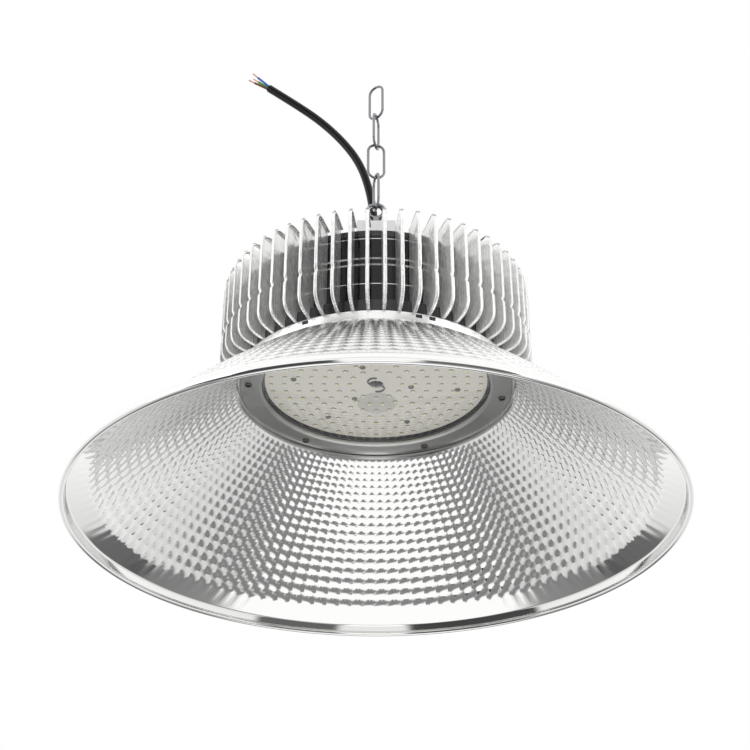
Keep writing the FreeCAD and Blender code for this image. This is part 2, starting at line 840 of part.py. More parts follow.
def led_driver():
    """The potted power supply on the base plate, with a fixing ear at each end."""
    body = new_body("led_driver")
    case = new_sketch(body, "XY_Plane", BASE_HIGH)
    block(case, "driver_length / 2", "driver_width / 2", "driver_place")
    blank = pad(body, case, "driver_height")
    doc.recompute()
    corners = [(f"{side}driver_length / 2", f"driver_place {end} driver_width / 2")
               for side in ("", "-") for end in ("+", "-")]
    rounded = body.newObject("PartDesign::Fillet", "led_driver_corners")
    rounded.Base = (blank, upright_edges(blank.Shape, corners))
    bind(rounded, "Radius", "driver_corner")
    doc.recompute()
    ears = new_sketch(body, "XY_Plane", BASE_HIGH)
    block(ears, DRIVER_REACH, "driver_ear", "driver_place")
    pad(body, ears, "driver_ear_thickness")
    doc.recompute()
    for side in ("", "-"):
        hole = drill(body, f"{BASE_HIGH} - driver_ear_thickness", "3 * driver_ear_thickness",
                     "driver_screw_shank / 2 + clearance", f"{side}{DRIVER_SCREW_X}", "driver_place")
    body.Tip = hole
    return body


DRIVER_REACH = "(driver_length / 2 + driver_ear)"
DRIVER_SCREW_X = "(driver_length / 2 + driver_ear / 2)"


def block(sketch, half_length, half_width, up):
    """Draw a rectangle centred on x = 0 and on a height up the sketch."""
    outline(sketch, [
        (f"-{half_length}", f"{up} - {half_width}"),
        (half_length, f"{up} - {half_width}"),
        (half_length, f"{up} + {half_width}"),
        (f"-{half_length}", f"{up} + {half_width}"),
    ])


def upright_edges(shape, corners):
    """Name the vertical edges at some (x, y) corners."""
    names = []
    for index, edge in enumerate(shape.Edges, start=1):
        ends = [vertex.Point for vertex in edge.Vertexes]
        for across, up in corners:
            if all(math.hypot(p.x - val(across), p.y - val(up)) < 0.01 for p in ends):
                names.append(f"Edge{index}")
    return names


def driver_screws():
    """Two screws through the driver's ears into the base plate."""
    screws = []
    seat = f"({BASE_HIGH} + driver_ear_thickness)"
    for side in ("", "-"):
        spot = (f"{side}{DRIVER_SCREW_X}", "driver_place")
        screws.append(plain_screw(f"driver_screw_{len(screws)}", spot, seat, "driver_screw_shank",
                                  "driver_ear_thickness + tie_thread"))
    return grouped("driver_screws", screws)


def plain_screw(name, spot, seat, shank, length):
    """One upright screw: a round head above the seat and a shank below it."""
    head = cylinder(name + "_head", f"0.85 * {shank}", f"0.6 * {shank}", (*spot, seat))
    stem = cylinder(name + "_shank", f"{shank} / 2", length, (*spot, f"{seat} - ({length})"))
    return fused(name, [head, stem])


def grouped(name, pieces):
    """Keep equal fasteners together in one node, as separate solids."""
    group = doc.addObject("Part::Compound", name)
    group.Label = name
    group.Links = pieces
    return group


# ---------------------------------------------------------------- hanging gear
def hanging_strap():
    """A strap folded over the middle of the lid: two feet, two legs and a flat top."""
    body = new_body("hanging_strap")
    legs = new_sketch(body, "YZ_Plane")
    foot = "(strap_reach + strap_foot)"
    thick = "strap_sheet"
    right = [
        (foot, COVER_HIGH),
        (foot, f"{COVER_HIGH} + {thick}"),
        ("strap_reach", f"{COVER_HIGH} + {thick}"),
        ("strap_reach", STRAP_TOP),
    ]
    inner = [
        (f"strap_reach - {thick}", STRAP_LOW),
        (f"strap_reach - {thick}", COVER_HIGH),
    ]
    mirrored = [(f"-({across})", up) for across, up in right]
    inner_mirrored = [(f"-({across})", up) for across, up in inner]
    corners = right + mirrored[::-1] + inner_mirrored[::-1] + inner
    outline(legs, corners)
    blank = pad(body, legs, "strap_width", True)
    doc.recompute()
    tops = strap_edges(blank.Shape, val("strap_reach"), val(STRAP_TOP))
    rounded = body.newObject("PartDesign::Fillet", "strap_bend")
    rounded.Base = (blank, tops)
    bind(rounded, "Radius", "strap_bend")
    doc.recompute()
    low = f"{STRAP_LOW} - strap_sheet"
    drill(body, low, "3 * strap_sheet", "eye_stem / 2 + clearance", "0", "0")
    drill(body, low, "3 * strap_sheet", "strap_cable_hole / 2", "0", "gland_place")
    for side in (-1, 1):
        for end in (-1, 1):
            last = drill(body, f"{COVER_HIGH} - strap_sheet", "3 * strap_sheet",
                         "strap_screw_shank / 2 + clearance",
                         f"{side} * strap_screw_pitch / 2", f"{end} * ({STRAP_SCREW_Y})")
    body.Tip = last
    return body


def strap_edges(shape, reach, height):
    """Name the strap's two top outer bend edges."""
    names = []
    for index, edge in enumerate(shape.Edges, start=1):
        ends = [vertex.Point for vertex in edge.Vertexes]
        if all(abs(abs(p.y) - reach) < 0.01 and abs(p.z - height) < 0.01 for p in ends):
            if abs(ends[0].y - ends[-1].y) < 0.01:
                names.append(f"Edge{index}")
    return names


def strap_screws():
    """Four screws through the strap's feet and the lid."""
    seat = f"({COVER_HIGH} + strap_sheet)"
    screws = []
    for side in (-1, 1):
        for end in (-1, 1):
            spot = (f"{side} * strap_screw_pitch / 2", f"{end} * {STRAP_SCREW_Y}")
            screws.append(plain_screw(f"strap_screw_{len(screws)}", spot, seat, "strap_screw_shank",
                                      "strap_screw_length"))
    return grouped("strap_screws", screws)


def eye_bolt():
    """Ring, neck, collar and threaded stem in one forging."""
    ring = primitive("Part::Torus", "eye_ring",
                     {"Radius1": "(eye_outer - eye_wire) / 2", "Radius2": "eye_wire / 2"},
                     ("0", "0", EYE_HEIGHT), ((1, 0, 0), 90))
    collar = cylinder("eye_collar", "eye_collar / 2", "eye_collar_thickness", ("0", "0", STRAP_TOP))
    low = f"({STRAP_LOW} - eye_washer_thickness - eye_nut_height - eye_stem_end)"
    stem = cylinder("eye_stem", "eye_stem / 2", f"{STRAP_TOP} - {low}", ("0", "0", low))
    neck = cylinder("eye_neck", "0.4 * eye_stem", "eye_stand - eye_outer / 2 + eye_wire / 2",
                    ("0", "0", STRAP_TOP))
    return fused("eye_bolt", [ring, collar, stem, neck])


def hexagon(flats, height):
    """Sizes of a hexagonal prism by its width across flats."""
    return {"Polygon": "6", "Circumradius": f"({flats}) / 2 / cos(30 deg)", "Height": height}


def eye_fixing():
    """Washer and nut under the strap."""
    top = STRAP_LOW
    washer = cylinder("eye_washer_blank", "eye_washer / 2", "eye_washer_thickness",
                      ("0", "0", f"{top} - eye_washer_thickness"))
    bore = cylinder("eye_washer_bore", "eye_stem / 2 + clearance", "3 * eye_washer_thickness",
                    ("0", "0", f"{top} - 2 * eye_washer_thickness"))
    cut_from("eye_washer", washer, bore)
    low = f"{top} - eye_washer_thickness - eye_nut_height"
    nut = primitive("Part::Prism", "eye_nut_blank", hexagon("eye_nut_flats", "eye_nut_height"),
                    ("0", "0", low))
    thread = cylinder("eye_nut_bore", "eye_stem / 2 + clearance", "3 * eye_nut_height",
                      ("0", "0", f"{low} - eye_nut_height"))
    cut_from("eye_nut", nut, thread)


LINK_TURNS = (-73.0, 8.0, 73.0, -35.0)


def chain_link(number):
    """One welded link: two straight sides and two half-round ends, turned a little as it hangs."""
    pitch = "(chain_link_length - 2 * chain_wire - chain_gap)"
    rest = f"({EYE_HEIGHT} + eye_outer / 2 - eye_wire - chain_wire - chain_gap)"
    low = f"({rest} + {number - 1} * {pitch})"
    reach = "((chain_link_width - chain_wire) / 2)"
    wire = "chain_wire / 2"
    straight = "(chain_link_length - chain_link_width)"
    degrees = LINK_TURNS[number - 1]
    name = f"chain_link_{number}"
    pieces = []
    for mark, side in (("left", "-"), ("right", "")):
        foot = (f"{side}{reach} * cos({degrees} deg)", f"{side}{reach} * sin({degrees} deg)",
                f"{low} + chain_link_width / 2")
        pieces.append(cylinder(f"{name}_{mark}", wire, straight, foot))
    for mark, up, flip in (("bottom", "chain_link_width / 2", 180),
                           ("top", f"chain_link_width / 2 + {straight}", 0)):
        bow = primitive("Part::Torus", f"{name}_{mark}", {"Radius1": reach, "Radius2": wire})
        bow.Angle3 = 180
        facing = Rotation(Vector(0, 0, 1), degrees)
        upright = Rotation(Vector(1, 0, 0), 90)
        bow.Placement = Placement(Vector(0, 0, 0), facing * Rotation(Vector(0, 1, 0), flip) * upright)
        bind(bow, "Placement.Base.z", f"{low} + {up}")
        pieces.append(bow)
    return fused(name, pieces)


# ---------------------------------------------------------------- cable gland and cord
def gland_parts():
    """Threaded gland body, its locknut under the lid, the dome nut and the rubber seal."""
    spot = ("0", "gland_place")
    hex_top = f"({COVER_HIGH} + gland_hex)"
    nut_top = f"({hex_top} + gland_nut_height)"
    body_hex = primitive("Part::Prism", "gland_hexagon", hexagon("gland_flats", "gland_hex"),
                         (*spot, COVER_HIGH))
    tail = cylinder("gland_tail_thread", "gland_thread / 2", f"{COVER_HIGH} - drum_top + gland_tail",
                    (*spot, "drum_top - gland_tail"))
    fused("gland_body", [body_hex, tail])
    locknut = primitive("Part::Prism", "gland_locknut_blank", hexagon("gland_flats", "gland_locknut"),
                        (*spot, "drum_top - gland_locknut"))
    thread = cylinder("gland_locknut_bore", "gland_thread / 2 + clearance", "3 * gland_locknut",
                      (*spot, "drum_top - 2 * gland_locknut"))
    cut_from("gland_locknut", locknut, thread)
    dome_height = "gland_nut_height / 3"
    nut_hex = primitive("Part::Prism", "gland_nut_hexagon",
                        hexagon("gland_flats", f"gland_nut_height - {dome_height}"), (*spot, hex_top))
    dome = primitive("Part::Cone", "gland_nut_dome",
                     {"Radius1": "gland_flats / 2", "Radius2": "gland_seal_radius + 1.5 * clearance + 1",
                      "Height": dome_height}, (*spot, f"{nut_top} - {dome_height}"))
    nut = fused("gland_nut_blank", [nut_hex, dome])
    bore = cylinder("gland_nut_bore", "gland_seal_radius + clearance", "2 * gland_nut_height",
                    (*spot, f"{hex_top} - gland_nut_height / 2"))
    cut_from("gland_nut", nut, bore)
    seal = cylinder("gland_seal", "gland_seal_radius", "gland_nut_height + gland_seal_stand",
                    (*spot, hex_top))
    seal.Label = "gland_seal"


def cord_path(points):
    """Straight runs joined by tangent arcs: each arc takes 0.45 of its shorter run."""
    spots = [Vector(*point) for point in points]
    edges = []
    radii = []
    start = spots[0]
    for before, here, after in zip(spots, spots[1:], spots[2:]):
        back = (before - here)
        ahead = (after - here)
        reach = 0.45 * min(back.Length, ahead.Length)
        turn = math.pi - back.getAngle(ahead)
        into = here + back.normalize() * reach
        out = here + ahead.normalize() * reach
        radius = reach / math.tan(turn / 2)
        towards = (into + out) * 0.5 - here
        middle = here + towards.normalize() * (math.hypot(radius, reach) - radius)
        edges.append(Part.LineSegment(start, into).toShape())
        edges.append(Part.Arc(into, middle, out).toShape())
        radii.append(radius)
        start = out
    edges.append(Part.LineSegment(start, spots[-1]).toShape())
    return Part.Wire(edges), radii


def power_cord():
    """The rubber cord's tube, whose volume is compared with its section times its length."""
    path, radii = cord_path(CORD_ROUTE)
    radius = val("cord_diameter / 2")
    heading = (Vector(*CORD_ROUTE[1]) - Vector(*CORD_ROUTE[0])).normalize()
    ring = Part.Wire(Part.makeCircle(radius, Vector(*CORD_ROUTE[0]), heading))
    tube = path.makePipeShell([ring], True, False)
    expected = math.pi * radius ** 2 * path.Length
    print("cord length", round(path.Length, 1), "radii", [round(r) for r in radii])
    print("cord volume over section times length", round(tube.Volume / expected, 4))
    return in_code("power_cord", tube)


def cord_cores():
    """Three insulated cores with bare copper tips, at the stripped end of the cord."""
    end = Vector(*CORD_ROUTE[-1])
    along = (end - Vector(*CORD_ROUTE[-2])).normalize()
    side = along.cross(Vector(0, 1, 0)).normalize()
    other = along.cross(side).normalize()
    core = val("core_diameter / 2")
    copper = val("copper_diameter / 2")
    pitch = val("core_pitch")
    tips = []
    for index, name in enumerate(("core_brown", "core_blue", "core_earth")):
        angle = 2 * math.pi * index / 3
        away = side * math.cos(angle) + other * math.sin(angle)
        foot = end + away * pitch
        lean = (along + away * 0.12).normalize()
        bar = Part.makeCylinder(core, val("core_length"), foot + along * core * 0.2, lean)
        in_code(name, bar)
        tip_foot = foot + along * core * 0.2 + lean * val("core_length")
        tips.append(Part.makeCylinder(copper, val("copper_length"), tip_foot, lean))
    in_code("core_tips", Part.makeCompound(tips))


# ---------------------------------------------------------------- build
NODES = [
    "reflector", "bezel_ring", "bezel_screws", "glass_cover", "glass_gasket", "base_plate",
    "led_board", "led_chips", "board_screws_outer", "board_screws_inner", "lead_wires",
    "cooling_fins", "core_drum", "top_cover", "tie_screws", "led_driver", "driver_screws",
    "hanging_strap", "strap_screws", "eye_bolt", "eye_washer", "eye_nut",
    "chain_link_1", "chain_link_2", "chain_link_3", "chain_link_4",
    "gland_body", "gland_locknut", "gland_nut", "gland_seal",
    "power_cord", "core_brown", "core_blue", "core_earth", "core_tips",
]


def build():
    """Make every sub-part in the document."""
    reflector()
    bezel_ring()
    bezel_screws()
    glass_cover()
    glass_gasket()
    base_plate()
    led_board()
    led_chips()
    board_screws()
    lead_wires()
    cooling_fins()
    core_drum()
    top_cover()
    tie_screws()
    led_driver()
    driver_screws()
    hanging_strap()
    strap_screws()
    eye_bolt()
    eye_fixing()
    for number in range(1, 5):
        chain_link(number)
    gland_parts()
    power_cord()
    cord_cores()
    doc.recompute()


def check():
    """Stop if any object failed or any sub-part has no valid shape."""
    for item in doc.Objects:
        if "Invalid" in item.State or "Error" in item.State:
            raise RuntimeError(f"{item.Name} failed: {item.State}")
    for name in NODES:
        shape = doc.getObject(name).Shape
        if shape.isNull() or not shape.isValid() or not shape.Solids:
            raise RuntimeError(f"{name} has no valid solid")


def write():
    """Write one STEP file for each sub-part."""
    os.makedirs("parts", exist_ok=True)
    for name in NODES:
        shape = doc.getObject(name).Shape
        shape.exportStep(f"parts/{name}.step")
        print(name, len(shape.Solids), "solids", round(shape.Volume / 1000, 2), "cm3")


build()
check()
write()
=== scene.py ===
"""Looks of the high bay light: embossed bell, finishes, rubber cord, studio and camera.

Metres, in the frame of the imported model: +Z up, the bell's rim lies at z = 0, the front is -Y.
Tables of a piece's sizes are in millimetres, and MM takes them to metres.
"""
import json
import math

import bpy
import numpy as np
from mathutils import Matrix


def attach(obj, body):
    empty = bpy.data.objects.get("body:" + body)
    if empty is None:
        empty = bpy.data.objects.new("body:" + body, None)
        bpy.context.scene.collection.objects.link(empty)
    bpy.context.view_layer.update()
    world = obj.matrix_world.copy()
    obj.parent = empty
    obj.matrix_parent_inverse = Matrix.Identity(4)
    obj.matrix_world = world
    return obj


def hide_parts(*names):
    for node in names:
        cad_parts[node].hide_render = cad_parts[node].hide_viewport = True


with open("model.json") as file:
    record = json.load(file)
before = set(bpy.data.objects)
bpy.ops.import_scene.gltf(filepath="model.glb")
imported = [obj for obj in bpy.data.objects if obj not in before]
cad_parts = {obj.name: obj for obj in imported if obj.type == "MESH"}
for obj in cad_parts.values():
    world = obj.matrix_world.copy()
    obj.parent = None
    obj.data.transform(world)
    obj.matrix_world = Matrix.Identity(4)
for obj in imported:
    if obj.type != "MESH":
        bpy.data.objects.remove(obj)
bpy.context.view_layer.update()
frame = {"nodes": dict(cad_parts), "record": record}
NODES = frame["nodes"]

MM = 0.001


# ---------------------------------------------------------------- camera
CAMERA_PLACE = (0.0, -1.0195, -0.4731)
CAMERA_TILT = math.radians(90.0 + 31.05)
CAMERA_SHIFT = -0.00147
SENSOR_MM, LENS_MM = 36.0, 67.2


def add_camera():
    """Look up at the lamp from below its rim, in front of it."""
    data = bpy.data.cameras.new("camera")
    data.sensor_width = SENSOR_MM
    data.lens = LENS_MM
    data.shift_x = CAMERA_SHIFT
    camera = bpy.data.objects.new("camera", data)
    camera.location = CAMERA_PLACE
    camera.rotation_euler = (CAMERA_TILT, 0.0, 0.0)
    bpy.context.collection.objects.link(camera)
    bpy.context.scene.camera = camera


# ---------------------------------------------------------------- cord
CORD_DIAMETER = 7.6 * MM
# the same route as the solid's, in metres
CORD_ROUTE = [
    (0.0000, 0.0240, 0.2345),
    (0.0000, 0.0240, 0.2640),
    (-0.0005, 0.0242, 0.2960),
    (-0.0022, 0.0243, 0.3300),
    (-0.0066, 0.0240, 0.3610),
    (-0.0155, 0.0236, 0.3910),
    (-0.0315, 0.0234, 0.4175),
    (-0.0540, 0.0232, 0.4435),
    (-0.0800, 0.0234, 0.4660),
    (-0.1060, 0.0240, 0.4870),
]


def add_cord():
    """One smooth curve through the route, with a round section."""
    data = bpy.data.curves.new("power_cord_skin", "CURVE")
    data.dimensions = "3D"
    spline = data.splines.new("NURBS")
    spline.points.add(len(CORD_ROUTE) - 1)
    for point, place in zip(spline.points, CORD_ROUTE):
        point.co = (*place, 1.0)
        point.radius = CORD_DIAMETER / 2
    spline.order_u = 3
    spline.use_endpoint_u = True
    spline.resolution_u = 12
    # the section is a unit circle times each point's radius, so the curve's box is the cord's
    data.bevel_depth = 1.0
    data.bevel_resolution = 8
    data.use_fill_caps = True
    cord = bpy.data.objects.new("power_cord_skin", data)
    bpy.context.collection.objects.link(cord)
    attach(cord, "root")
    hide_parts("power_cord")
    return cord


# ---------------------------------------------------------------- mesh helpers
def make_object(name, points, faces, smooth=True):
    """Put computed points and faces into a mesh object at the origin."""
    mesh = bpy.data.meshes.new(name)
    mesh.from_pydata(points.reshape(-1, 3).tolist(), [], faces)
    mesh.polygons.foreach_set("use_smooth", np.full(len(mesh.polygons), smooth))
    mesh.update()
    item = bpy.data.objects.new(name, mesh)
    bpy.context.collection.objects.link(item)
    return item


def set_round(local, turns):
    """Points in metres of a piece set at each angle; local x is away from the axis, y across."""
    x, y, z = local[..., 0], local[..., 1], local[..., 2]
    cos, sin = np.cos(turns)[:, None], np.sin(turns)[:, None]
    across = x * cos - y * sin
    return np.stack([across, x * sin + y * cos, np.broadcast_to(z, across.shape)], axis=-1) * MM


def ring_faces(around, along):
    """Quads of a grid that closes on itself both round the axis and along the section."""
    i = np.arange(around)[:, None]
    j = np.arange(along)[None, :]
    here = i * along + j
    side = ((i + 1) % around) * along + j
    both = ((i + 1) % around) * along + (j + 1) % along
    ahead = i * along + (j + 1) % along
    return np.stack([here, side, both, ahead], axis=-1).reshape(-1, 4).tolist()


def loft_faces(rows, around):
    """Faces of one closed piece: quads from each ring of points to the next, and two end caps."""
    i = np.arange(rows - 1)[:, None] * around
    j = np.arange(around)[None, :]
    ahead = (j + 1) % around
    wall = np.stack([i + j, i + ahead, i + around + ahead, i + around + j], axis=-1)
    first = list(range(around))
    last = list(range((rows - 1) * around, rows * around))
    return wall.reshape(-1, 4).tolist() + [first[::-1], last]


def repeated(faces, count, size):
    """The faces of count copies of a piece that has size points."""
    return [[corner + copy * size for corner in face] for copy in range(count) for face in faces]


def rounded(corners, radius, steps=4, limit=0.4):
    """An open line whose inner corners are replaced by quadratic Bezier curves.

    Each curve starts and ends at radius, or limit of the shorter run, away from its corner:
    (1-s)^2 start + 2 s (1-s) corner + s^2 end.  The radius may be one for each inner corner.
    """
    corners = np.asarray(corners, dtype=float)
    parts = [corners[:1]]
    share = np.linspace(0.0, 1.0, steps + 1)[:, None]
    radii = np.broadcast_to(radius, len(corners) - 2)
    for before, here, after, far in zip(corners, corners[1:], corners[2:], radii):
        back, ahead = before - here, after - here
        reach = min(far, limit * np.linalg.norm(back), limit * np.linalg.norm(ahead))
        start = here + back / np.linalg.norm(back) * reach
        end = here + ahead / np.linalg.norm(ahead) * reach
        parts.append((1 - share) ** 2 * start + 2 * share * (1 - share) * here + share ** 2 * end)
    parts.append(corners[-1:])
    return np.concatenate(parts)


def right_normals(line):
    """Unit normals of an open line, to the right of the way along it."""
    run = np.gradient(line, axis=0)
    run /= np.linalg.norm(run, axis=1)[:, None]
    return np.stack([run[:, 1], -run[:, 0]], axis=1)


# ---------------------------------------------------------------- bell
BELL_COLUMNS = 120
BELL_ROWS = 18
CELL_STEPS = 4
# a pillow's height over its cell's width
BELL_RELIEF = 0.075
SHEET = 1.0
NECK_RADIUS, NECK_HEIGHT = 117.5, 121.0
BAND_RADIUS, BAND_HEIGHT = 229.5, 18.5
RIDGE_RADIUS, RIDGE_HEIGHT = 245.0, 10.5
FLANGE_RADIUS, FLANGE_HEIGHT = 104.0, 128.5
BEAD_RADIUS, BEAD_CENTRE, BEAD_STEPS = 2.5, 247.5, 32
# how far the cone's middle stands out from a straight line
BELL_BOW = 2.5
NECK_BEND, NECK_STEPS = 1.2, 8
RIDGE_BEND = 1.5
# sharper folds than this, such as the valleys between cells, aren't smoothed
BELL_CREASE = math.radians(15.0)


def bell_line():
    """The sheet's middle line from flange to bead as (radius, height), and the relief along it.

    Rows grow with the radius, r = neck * q^s, so each cell stays square.  With v from -1 to 1
    across a row, the relief is BELL_RELIEF * cell * (1 - v^2); it is 0 off the cone.
    """
    row = np.linspace(0.0, BELL_ROWS, BELL_ROWS * CELL_STEPS + 1)
    growth = BAND_RADIUS / NECK_RADIUS
    radius = NECK_RADIUS * growth ** (row / BELL_ROWS)
    share = (radius - NECK_RADIUS) / (BAND_RADIUS - NECK_RADIUS)
    chord = np.array([BAND_RADIUS - NECK_RADIUS, BAND_HEIGHT - NECK_HEIGHT])
    outward = np.array([-chord[1], chord[0]]) / np.linalg.norm(chord)
    bow = BELL_BOW * (1 - (2 * share - 1) ** 2)
    cone = np.array([NECK_RADIUS, NECK_HEIGHT]) + share[:, None] * chord + bow[:, None] * outward
    neck = rounded([(FLANGE_RADIUS, FLANGE_HEIGHT), (NECK_RADIUS, FLANGE_HEIGHT), cone[0]],
                   NECK_BEND, NECK_STEPS)
    rim = rounded([cone[-1], (RIDGE_RADIUS, RIDGE_HEIGHT), (BEAD_CENTRE, BEAD_RADIUS)],
                  RIDGE_BEND)[:-1]
    middle = np.concatenate([neck[:-1], cone, rim[1:]])
    in_row = 2 * (row % 1.0) - 1
    cell = radius * 2 * math.pi / BELL_COLUMNS
    relief = np.zeros(len(middle))
    relief[len(neck) - 1:len(neck) - 1 + len(cone)] = BELL_RELIEF * cell * (1 - in_row ** 2)
    return middle, relief


def bead_roll():
    """The rolled bead: a circle of (radius, height), open by the sheet's width at the lip."""
    bead = np.array([BEAD_CENTRE, BEAD_RADIUS])
    lip = np.array([RIDGE_RADIUS, RIDGE_HEIGHT]) - bead
    lip_angle = math.atan2(lip[1], lip[0])
    slit = math.asin(SHEET / 2 / BEAD_RADIUS)
    swing = np.linspace(lip_angle + slit, lip_angle + 2 * math.pi - slit, BEAD_STEPS)
    return bead + BEAD_RADIUS * np.stack([np.cos(swing), np.sin(swing)], axis=1)


def embossed_bell():
    """The spun bell as one closed sheet, its cone pressed into rows of small square pillows.

    With u from -1 to 1 across a column, the sheet stands in by relief * (1 - u^2).
    """
    middle, relief = bell_line()
    inward = right_normals(middle)
    columns = BELL_COLUMNS * CELL_STEPS
    turn = np.arange(columns) / columns
    in_column = 2 * ((turn * BELL_COLUMNS) % 1.0) - 1
    height = relief[None, :] * (1 - in_column[:, None] ** 2)
    inner = middle + inward * SHEET / 2 + inward * height[..., None]
    outer = middle - inward * SHEET / 2 + inward * height[..., None]
    roll = bead_roll()
    roll = np.broadcast_to(roll, (columns, *roll.shape))
    section = np.concatenate([inner, roll, outer[:, ::-1]], axis=1)
    angle = 2 * math.pi * turn[:, None]
    points = np.stack([section[..., 0] * np.cos(angle), section[..., 0] * np.sin(angle),
                       section[..., 1]], axis=-1) * MM
    along = section.shape[1]
    bell = make_object("embossed_bell", points, ring_faces(columns, along))
    outside = np.arange(along) >= inner.shape[1] + roll.shape[1]
    bell.data.polygons.foreach_set("material_index", np.tile(outside, columns).astype(np.int32))
    bell.data.set_sharp_from_angle(angle=BELL_CREASE)
    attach(bell, "root")
    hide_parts("reflector")
    return bell


# ---------------------------------------------------------------- cooling fins
FIN_COUNT = 60
FIN_TURN = math.radians(3.0)
FIN_SHEET, FIN_LIP, FIN_BEND = 1.0, 3.0, 0.9
FIN_SEAT, FOOT_SEAT, STEP_HEIGHT = 107.8, 114.3, 141.3
# the fin's free edge as (radius, height), from its foot round the outside to the drum's top
FIN_EDGE = [(115.5, 129.5), (133.0, 134.0), (133.0, 159.3), (131.4, 162.5), (133.0, 165.7),
            (133.0, 215.8), (126.0, 220.2), (114.0, 217.2), (108.3, 216.2)]
FIN_CORNERS = (11.0, 1.2, 1.2, 1.2, 7.0, 5.0, 3.0)
CORNER_STEPS, CORNER_LIMIT = 6, 0.62
# above the first height the root's points are spread evenly up to the second
ROOT_SPREAD, ROOT_TOP = 205.0, 215.9
BEND_STEPS = 5
# the lip's eased edge, across and down, and the steps of the bend's inner side
EASE_SIDE, EASE_DEPTH = 0.25, 0.2
INNER_BEND = np.array([0.0, 0.15, 0.5])
FIN_CREASE = math.radians(40.0)


def fin_section():
    """The lip's section as depth below the free edge and place across the fin's middle."""
    half = FIN_LIP / 2
    bend = np.linspace(0.0, math.pi / 2, BEND_STEPS)
    depth = np.concatenate([FIN_BEND * (1 - np.sin(bend)),
                            [0.0, EASE_DEPTH, FIN_SHEET - EASE_DEPTH, FIN_SHEET],
                            FIN_SHEET + INNER_BEND])
    side = np.concatenate([half - FIN_BEND * (1 - np.cos(bend)),
                           [-half + EASE_SIDE, -half, -half, -half + EASE_SIDE],
                           half - FIN_SHEET - INNER_BEND[::-1]])
    return depth, -np.concatenate([[half], side, [half - FIN_SHEET]])


def stamped_fins():
    """Sixty stamped fins: a thin web from the drum to the free edge, and a lip bent square there.

    A section is carried along the free edge.  Its root lies on the drum at the same height, and
    near the edge it turns through a quarter circle of the bend's radius into the lip.
    """
    edge = rounded(FIN_EDGE, FIN_CORNERS, CORNER_STEPS, CORNER_LIMIT)
    height = edge[:, 1].copy()
    top = int(np.argmax(height > ROOT_SPREAD))
    height[top:] = np.linspace(height[top], ROOT_TOP, len(height) - top)
    root = np.stack([np.where(height < STEP_HEIGHT, FOOT_SEAT, FIN_SEAT), height], axis=1)
    depth, side = fin_section()
    sheet = edge[:, None, :] - right_normals(edge)[:, None, :] * depth[None, :, None]
    plane = np.concatenate([root[:, None, :], sheet, root[:, None, :]], axis=1)
    rows, around = plane.shape[:2]
    local = np.stack([plane[..., 0], np.broadcast_to(side, (rows, around)), plane[..., 1]],
                     axis=-1).reshape(-1, 3)
    turns = -math.pi / 2 + FIN_TURN + 2 * math.pi * np.arange(FIN_COUNT) / FIN_COUNT
    faces = repeated(loft_faces(rows, around), FIN_COUNT, len(local))
    fins = make_object("stamped_fins", set_round(local, turns), faces)
    fins.data.set_sharp_from_angle(angle=FIN_CREASE)
    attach(fins, "root")
    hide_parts("cooling_fins")
    return fins


# ---------------------------------------------------------------- LED packages
LED_PITCH, LED_RINGS, BOARD_FACE = 11.1, range(2, 9), 133.2
# half width and stand of the package's square outline, from its base round into the dish
LED_OUTLINE = [(1.62, 0.0), (1.55, 0.7), (1.42, 0.8), (1.15, 0.8), (0.95, 0.6)]
# the material of each band between two squares: edge dark with painted shade 0, white frame 1,
# phosphor 2
LED_BANDS = (0, 0, 1, 2)
LED_DISH, LED_BASE = 2, 0


def led_packages():
    """Square LED packages in rings of six more each: an edge dark with painted shade, white frame,
    phosphor dish.

    Each is a stack of squares of changing half width; the dish closes the last one.
    """
    outline = np.array(LED_OUTLINE)
    corner = np.array([(-1, -1), (1, -1), (1, 1), (-1, 1)])
    flat = (outline[:, None, :1] * corner[None]).reshape(-1, 2)
    stand = np.repeat(BOARD_FACE - outline[:, 1], 4)
    i = np.arange(len(outline) - 1)[:, None] * 4
    j = np.arange(4)[None, :]
    ahead = (j + 1) % 4
    wall = np.stack([i + j, i + 4 + j, i + 4 + ahead, i + ahead], axis=-1).reshape(-1, 4)
    size = len(flat)
    dish = [size - 4, size - 1, size - 2, size - 3]
    package = wall.tolist() + [dish, [0, 1, 2, 3]]
    tone = np.concatenate([np.repeat(LED_BANDS, 4), [LED_DISH, LED_BASE]])
    ring = np.concatenate([np.full(6 * n, n) for n in LED_RINGS])
    turn = np.concatenate([2 * math.pi * np.arange(6 * n) / (6 * n) for n in LED_RINGS])
    x = flat[None, :, 0] + LED_PITCH * ring[:, None]
    local = np.stack([x, np.broadcast_to(flat[:, 1], x.shape), np.broadcast_to(stand, x.shape)],
                     axis=-1)
    leds = make_object("led_packages", set_round(local, turn),
                       repeated(package, len(ring), size), smooth=False)
    leds.data.polygons.foreach_set("material_index", np.tile(tone, len(ring)).astype(np.int32))
    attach(leds, "root")
    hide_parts("led_chips")
    return leds


# ---------------------------------------------------------------- latch tabs
LATCH_ANGLES = (-118.0, -73.6, -68.2, 2.0, 46.4, 122.0, 166.4)
TAB_HALF, TAB_RADII, TAB_HEIGHTS = 2.5, (117.2, 118.5), (124.5, 127.1)
BOX_SIDES = [(0, 1, 3, 2), (4, 6, 7, 5), (0, 4, 5, 1), (2, 3, 7, 6), (0, 2, 6, 4), (1, 5, 7, 3)]


def latch_tabs():
    """Small dark tabs of the latches in the collar's windows: boxes set round the axis."""
    box = np.array([(radius, across, up) for radius in TAB_RADII
                    for across in (-TAB_HALF, TAB_HALF) for up in TAB_HEIGHTS])
    turns = np.radians(LATCH_ANGLES)
    tabs = make_object("latch_tabs", set_round(box, turns),
                       repeated(BOX_SIDES, len(turns), len(box)), smooth=False)
    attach(tabs, "root")
    return tabs


# ---------------------------------------------------------------- screws
SCREW_STEPS = 32
